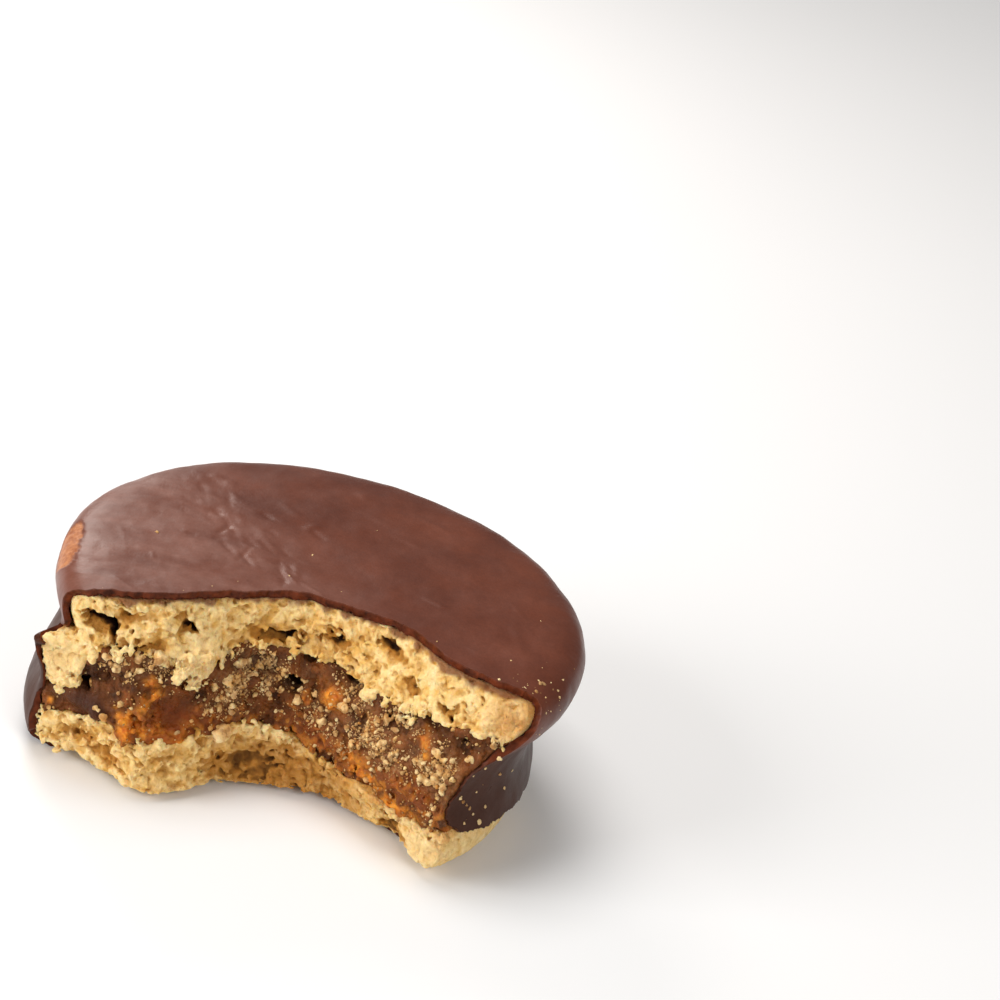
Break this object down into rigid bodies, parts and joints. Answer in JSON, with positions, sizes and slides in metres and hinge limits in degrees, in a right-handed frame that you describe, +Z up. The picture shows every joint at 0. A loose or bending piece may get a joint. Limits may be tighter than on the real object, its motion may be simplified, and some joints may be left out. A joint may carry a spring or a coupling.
{
  "type": "alfajor cookie",
  "caption": "Round chocolate-coated alfajor with a caramel filling between crumbly biscuits, bitten away at the front so that its layers show.",
  "frame": {"origin": "centre of the round flat underside that the cookie rests on", "axes": "+Z up through the layers, the bite faces -Y, +X to the right of someone who looks into the bite"},
  "size_m": [0.067, 0.0543, 0.0251],
  "materials": {
    "chocolate": "milk chocolate, satin with a soft sheen",
    "upper_crumb": "dry open biscuit crumb",
    "caramel": "dark sticky dulce de leche, crumbs stuck on",
    "lower_crumb": "dry open biscuit crumb"
  },
  "bodies": {
    "root": {"chocolate_coating": "chocolate", "upper_biscuit": "upper_crumb", "filling": "caramel", "lower_biscuit": "lower_crumb"}
  },
  "joints": []
}
